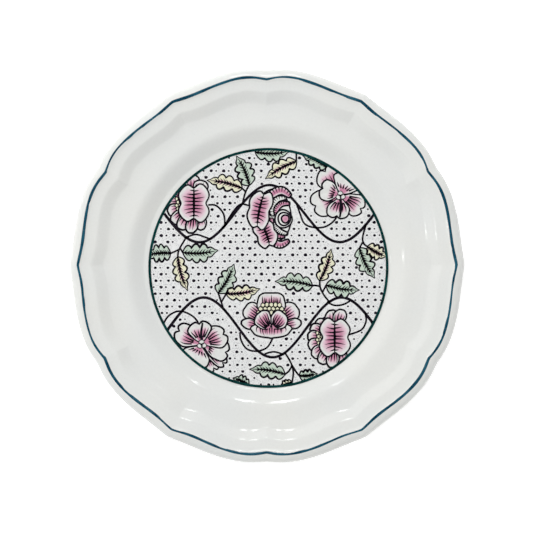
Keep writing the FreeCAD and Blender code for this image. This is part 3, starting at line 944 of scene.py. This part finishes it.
def long_stem(middle, swing, crest, pitch):
    """One of the two long stems that wave across the well."""
    half = math.sqrt((PRINT_RADIUS + TUCK) ** 2 - middle ** 2) + 6
    path = []
    for step in range(121):
        x = -half + 2 * half * step / 120
        path.append((x, middle + swing * math.cos(2 * math.pi * (x - crest) / pitch)))
    kept = [point for point in path if math.hypot(*point) < PRINT_RADIUS + STEM_WIDTH]
    stroke(kept, STEM_WIDTH, STEM_WIDTH, STEM_TOP, middle=0.9 * STEM_WIDTH)
    return kept


def cell(point):
    """The square of the print, DOT_CLEARANCE wide, that a point lies in."""
    return round(point[0] / DOT_CLEARANCE), round(point[1] / DOT_CLEARANCE)


def dots(lines):
    """Staggered rows of large and small dots, wherever the ground shows between the motifs."""
    pieces = Pieces()
    taken = {cell(point) for line in lines + covers for point in line}
    rows = int(PRINT_RADIUS / DOT_ROW)
    columns = int(PRINT_RADIUS / DOT_PITCH) + 2
    for row in range(-rows, rows + 1):
        slip = DOT_PITCH / 2 * (row % 2) + DOT_DRIFT * math.sin(DOT_BEAT * row)
        for column in range(-columns, columns + 1):
            for place, half_width, half_height in ((0.0, 1.18, 1.02), (DOT_SMALL_SHIFT, 0.68, 0.64)):
                middle = (
                    (column + place) * DOT_PITCH + slip + chance.gauss(0, 0.07),
                    row * DOT_ROW + chance.gauss(0, 0.07),
                )
                size = near(1.0, 0.14)
                lean = chance.uniform(-20, 20)
                shade = chance.random()
                if math.hypot(*middle) > PRINT_RADIUS - 0.2:
                    continue
                across, up = cell(middle)
                if any((across + i, up + j) in taken for i in (-1, 0, 1) for j in (-1, 0, 1)):
                    continue
                if any(inside(middle, outline) for outline in covers):
                    continue
                outline = oval(placed(middle, lean), half_width * size, half_height * size, 10, 0.07)
                patch(pieces, outline, DOT_TOP, shade)
    return pieces


def draw_print():
    """All the motifs of the print, laid into the colours' and the line's pieces."""
    lines = [long_stem(*stem) for stem in STEMS]
    for twig in TWIGS:
        path = through(twig)
        stroke(path, TENDRIL_WIDTH, TENDRIL_WIDTH, STEM_TOP)
        lines.append(path)
    for foot, tip, half_width in GREEN_LEAVES:
        leaf(foot, tip, half_width, green)
    for foot, tip, half_width in CREAM_LEAVES:
        leaf(foot, tip, half_width, cream)
    veined_blossom(placed((-51.6, 44.7)), [(96, 19.5, 5.0), (70, 17.0, 5.0)])
    veined_blossom(placed((45.6, -48.1)), [(100, 19.0, 4.6), (78, 20.0, 4.4)])
    open_blossom(
        placed((50.0, 49.7)),
        [(125, 21.0, 8.5, 0.9), (330, 17.0, 7.5, 0.85), (205, 19.5, 9.5, 0.72), (262, 14.5, 8.0, 0.8),
         (65, 15.0, 10.0, 0.5), (160, 13.5, 7.5, 0.6)],
        268,
    )
    open_blossom(
        placed((-45.8, -53.0)),
        [(300, 19.0, 5.0, 0.92), (322, 20.0, 5.0, 0.92), (345, 18.0, 7.5, 0.5), (152, 19.0, 7.8, 0.82),
         (28, 17.0, 8.0, 0.8), (245, 14.0, 10.5, 0.5), (100, 14.5, 8.0, 0.78)],
        88,
    )
    full_blossom(placed((2.1, -32.8)))
    curled_blossom(placed((0.9, 35.3)))
    return dots(lines)


# ---- Print: its flat pieces ----

def well_ring():
    """The painted line round the print, as a flat closed ring."""
    pieces = Pieces()
    rings = []
    outer = PRINT_RADIUS + WELL_LINE_WIDTH
    for radius, height, share in (
        (PRINT_RADIUS, WELL_LINE_TOP, 1.0), (outer, WELL_LINE_TOP, 0.6),
        (outer, FLOOR_HEIGHT, 0.6), (PRINT_RADIUS, FLOOR_HEIGHT, 1.0),
    ):
        points = []
        for step in range(TURN_STEPS):
            turn = 2 * math.pi * step / TURN_STEPS
            x, y = polar(radius + share * uneven(0.0, WELL_WANDERS, turn), turn)
            points.append((x + PRINT_CENTRE[0], y + PRINT_CENTRE[1], height))
        rings.append(pieces.add_points(points))
    pieces.join_rings(rings + rings[:1], TURN_STEPS)
    return pieces


def ground_disc():
    """The print's ground as a thin disc."""
    pieces = Pieces()
    outline = [polar(PRINT_RADIUS, 2 * math.pi * step / TURN_STEPS) for step in range(TURN_STEPS)]
    rings = []
    for share, height in ((0.5, GROUND_TOP), (1.0, GROUND_TOP), (1.0, FLOOR_HEIGHT), (0.5, FLOOR_HEIGHT)):
        rings.append(pieces.add_points([on_print((share * x, share * y), height) for x, y in outline]))
    hubs = pieces.add_points([on_print((0, 0), GROUND_TOP), on_print((0, 0), FLOOR_HEIGHT)])
    for step in range(TURN_STEPS):
        after = (step + 1) % TURN_STEPS
        pieces.faces.append([hubs, rings[0] + step, rings[0] + after])
        pieces.faces.append([hubs + 1, rings[3] + after, rings[3] + step])
        for first, then in zip(rings, rings[1:]):
            pieces.faces.append([first + step, then + step, then + after, first + after])
    return pieces


def rim_line():
    """The painted line round the crest of the rim, a little wider in some places than in others."""
    over = profile_rows(FACE_PROFILE, OUTWARD, DOWNWARD, -RIM_LINE_THICKNESS, FACE_SPACING)
    under = profile_rows(FACE_PROFILE, OUTWARD, DOWNWARD, RIM_LINE_DEPTH, FACE_SPACING)
    least = RIM_LINE_INNER - RIM_LINE_SPARE
    most = RIM_LINE_OUTER + RIM_LINE_SPARE
    places = [index for index, row in enumerate(under) if least < row[0] < most]
    loop = [over[index] for index in places] + [under[index] for index in reversed(places)]
    middle = (RIM_LINE_INNER + RIM_LINE_OUTER) / 2
    spread = (loop[len(places) - 1][0] - loop[0][0]) / (RIM_LINE_OUTER - RIM_LINE_INNER)
    pieces = Pieces()
    steps = 2 * TURN_STEPS
    rings = []
    for radius, height, share in loop:
        points = []
        for step in range(steps):
            angle = turned_angle(step, 2 * WEDGE_STEPS)
            turn = math.radians(angle)
            swell = uneven(RIM_LINE_SWELL, RIM_SWELLS, turn)
            reach = middle + (radius - middle) * swell / spread + uneven(0.0, RIM_WANDERS, turn)
            points.append(on_plate(reach, height, share, angle))
        rings.append(pieces.add_points(points))
    pieces.join_rings(rings + rings[:1], steps)
    return pieces


def ground_material():
    """White ground with fine grey specks, kept clear of a halo round every dot."""
    material, tree, shader = new_material("print_ground")

    def sums(operation, first, second=0.0):
        node = tree.nodes.new("ShaderNodeMath")
        node.operation = operation
        feed(tree, node.inputs[0], first)
        feed(tree, node.inputs[1], second)
        return node.outputs[0]

    where = coordinates(tree, "Object")
    x = sums("SUBTRACT", sums("MULTIPLY", where["X"], 1 / MM), PRINT_CENTRE[0])
    y = sums("SUBTRACT", sums("MULTIPLY", where["Y"], 1 / MM), PRINT_CENTRE[1])
    row = sums("ROUND", sums("DIVIDE", y, DOT_ROW))
    off_row = sums("SUBTRACT", y, sums("MULTIPLY", row, DOT_ROW))
    odd = sums("ABSOLUTE", sums("MODULO", row, 2.0))
    beat = sums("SINE", sums("MULTIPLY", row, DOT_BEAT))
    slip = sums("MULTIPLY", beat, DOT_DRIFT)
    slip = sums("ADD", slip, sums("MULTIPLY", odd, DOT_PITCH / 2))
    along = sums("DIVIDE", sums("SUBTRACT", x, slip), DOT_PITCH)
    clear = None
    for place, halo in ((0.0, 1.75), (DOT_SMALL_SHIFT, 1.25)):
        shift = sums("SUBTRACT", along, place)
        off_dot = sums("SUBTRACT", shift, sums("ROUND", shift))
        across = sums("MULTIPLY", off_dot, DOT_PITCH)
        square = sums("POWER", sums("ABSOLUTE", across), 2.0)
        gap = sums("SQRT", sums("ADD", square, sums("POWER", sums("ABSOLUTE", off_row), 2.0)))
        beyond = sums("SUBTRACT", gap, halo)
        clear = beyond if clear is None else sums("MINIMUM", clear, beyond)
    field = ramp(tree, clear, [(0.0, BLACK), (0.25, WHITE), (0.7, (0.8,) * 3)])
    specks = ramp(tree, noise(tree, 1500.0, 1.0), [(0.54, BLACK), (0.6, WHITE)])
    amount = sums("MULTIPLY", field, specks)
    paper = ramp(tree, noise(tree, 30.0, 3.0), PAPER_STOPS)
    colour = blended(tree, amount, paper, PAPER_SPECK)
    fired_gloss(tree, shader, colour)
    return material


def make_print():
    """The print and the two painted lines, each piece in the place of its CAD node."""
    dot_pieces = draw_print()
    rose_material = colour_material("rose_wash", ROSE_STOPS, 0.88)
    green_material = colour_material("leaf_green", GREEN_STOPS, 0.88)
    cream_material = colour_material("leaf_cream", CREAM_STOPS)
    ink_material = line_material("ink_black", (0.004, 0.003, 0.006), (0.016, 0.012, 0.02), 300.0)
    dot_material = line_material("dot_black", (0.004, 0.003, 0.007), (0.03, 0.022, 0.036), 700.0)
    well_material = line_material("well_line_green", (0.0015, 0.019, 0.018), (0.004, 0.05, 0.048), 160.0)
    rim_material = line_material("rim_line_teal", (0.005, 0.045, 0.08), (0.022, 0.105, 0.155), 110.0)
    for pieces, name, node, material in (
        (ground_disc(), "ground", "print_ground", ground_material()),
        (dot_pieces, "dots", "ground_dots", dot_material),
        (green, "leaves_green", "green_leaves", green_material),
        (cream, "leaves_cream", "cream_leaves", cream_material),
        (rose, "blossoms", "rose_blossoms", rose_material),
        (ink, "linework", "black_stems", ink_material),
        (well_ring(), "well_ring", "well_line", well_material),
        (rim_line(), "rim_ring", "rim_line", rim_material),
    ):
        piece = pieces.make(name, material)
        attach(piece, "root")
        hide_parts(node)


# ---- China ----

def make_glazes():
    """The glaze coats on the face and on the back, as closed skins 0.3 mm thick."""
    face = [profile_rows(FACE_PROFILE, OUTWARD, DOWNWARD, inset, FACE_SPACING) for inset in (0.0, GLAZE)]
    middle = [(radius, FLOOR_HEIGHT, 0.0) for radius in (0.0, 42.0, 80.0)]
    under = [(radius, height - GLAZE, share) for radius, height, share in middle]
    face_loop = middle + face[0] + face[1][::-1] + under[::-1]
    face_glaze = turned_piece([face_loop]).make("glazed_face", glaze_material("face_glaze"), smooth=True)
    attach(face_glaze, "root")
    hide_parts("face_glaze")

    back = [profile_rows(BACK_PROFILE, DOWNWARD, INWARD, inset, BACK_SPACING) for inset in (0.0, GLAZE)]
    wall = [(radius, height, 0.0) for radius, height in FOOT_OUTSIDE]
    wall_under = [(radius - GLAZE, height + GLAZE, 0.0) for radius, height in FOOT_OUTSIDE[::-1]]
    outer_loop = (back[0] + wall + wall_under + back[1][::-1])[::-1]
    ring = [(radius, height, 0.0) for radius, height in FOOT_INSIDE]
    ring_under = [(radius + GLAZE, height + GLAZE, 0.0) for radius, height in FOOT_INSIDE]
    ceiling = FOOT_INSIDE[1][1]
    inner_loop = [(0.0, ceiling, 0.0), (40.0, ceiling, 0.0)] + ring[::-1]
    inner_loop += ring_under + [(40.0, ceiling + GLAZE, 0.0), (0.0, ceiling + GLAZE, 0.0)]
    back_skin = turned_piece([outer_loop, inner_loop[::-1]])
    back_glaze = back_skin.make("glazed_back", glaze_material("back_glaze"), smooth=True)
    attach(back_glaze, "root")
    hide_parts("back_glaze")


def make_studio():
    """A pale table, a soft light tent that is open above the camera, one key light and far windows."""
    world = bpy.data.worlds.new("tent")
    bpy.context.scene.world = world
    world.use_nodes = True
    tree = world.node_tree
    sky = ramp(tree, coordinates(tree, "Generated")["Z"], [(place, (bright,) * 3) for place, bright in SKY])
    tree.links.new(sky, tree.nodes["Background"].inputs["Color"])
    tree.nodes["Background"].inputs["Strength"].default_value = 1.0

    bpy.ops.mesh.primitive_plane_add(size=TABLE_SIZE)
    table = bpy.context.object
    table.name = "table"
    material, tree, shader = new_material("table_white")
    shader.inputs["Base Color"].default_value = (0.95, 0.95, 0.95, 1.0)
    shader.inputs["Roughness"].default_value = 0.9
    shader.inputs["Emission Color"].default_value = (1.0, 1.0, 1.0, 1.0)
    shader.inputs["Emission Strength"].default_value = TABLE_GLOW
    table.data.materials.append(material)

    key = area_light("key", "DISK", (KEY_SIZE, KEY_SIZE), KEY_WATTS, KEY_PLACE)
    key.rotation_euler = (Vector(KEY_TARGET) - key.location).to_track_quat("-Z", "Y").to_euler()
    key.visible_glossy = False
    for azimuth, width, height, energy in WINDOWS:
        far_window(azimuth, width, height, energy)
    fill = area_light("fill", "DISK", (FILL_SIZE, FILL_SIZE), FILL_WATTS, FILL_PLACE)
    fill.visible_glossy = False


def area_light(name, shape, size, energy, location):
    """A lamp at a place, shining straight down until it is turned."""
    light = bpy.data.lights.new(name, "AREA")
    light.shape = shape
    light.size, light.size_y = size
    light.energy = energy
    lamp = bpy.data.objects.new(name, light)
    lamp.location = location
    bpy.context.scene.collection.objects.link(lamp)
    return lamp


def far_window(azimuth, width, height, energy):
    """A bright pane that shows only as a glint on the glaze. The azimuth is in degrees."""
    lean = math.radians(WINDOW_LEAN)
    way = Vector((*polar(math.sin(lean), math.radians(azimuth)), math.cos(lean)))
    pane = area_light("window", "RECTANGLE", (width, height), energy, WINDOW_DISTANCE * way)
    pane.rotation_euler = way.to_track_quat("Z", "Y").to_euler()
    pane.visible_diffuse = False
    return pane


def make_camera():
    """Almost straight above the plate, a little in front and to the right."""
    lens = bpy.data.cameras.new("camera")
    lens.lens = CAMERA_LENS
    camera = bpy.data.objects.new("camera", lens)
    lean = math.radians(CAMERA_LEAN)
    way = Vector((CAMERA_SIDE * math.sin(lean), CAMERA_FRONT * math.sin(lean), math.cos(lean))).normalized()
    camera.location = Vector(CAMERA_AIM) + CAMERA_DISTANCE * way
    right = Vector((0.0, 1.0, 0.0)).cross(way).normalized()
    camera.rotation_euler = Matrix((right, way.cross(right), way)).transposed().to_euler()
    bpy.context.scene.collection.objects.link(camera)
    bpy.context.scene.camera = camera


def main():
    bpy.context.scene.view_settings.view_transform = "Standard"
    bpy.context.scene.view_settings.look = "None"
    make_glazes()
    make_print()
    bpy.data.objects["ceramic_body"].data.materials.clear()
    bpy.data.objects["ceramic_body"].data.materials.append(clay_material())
    make_studio()
    make_camera()


main()
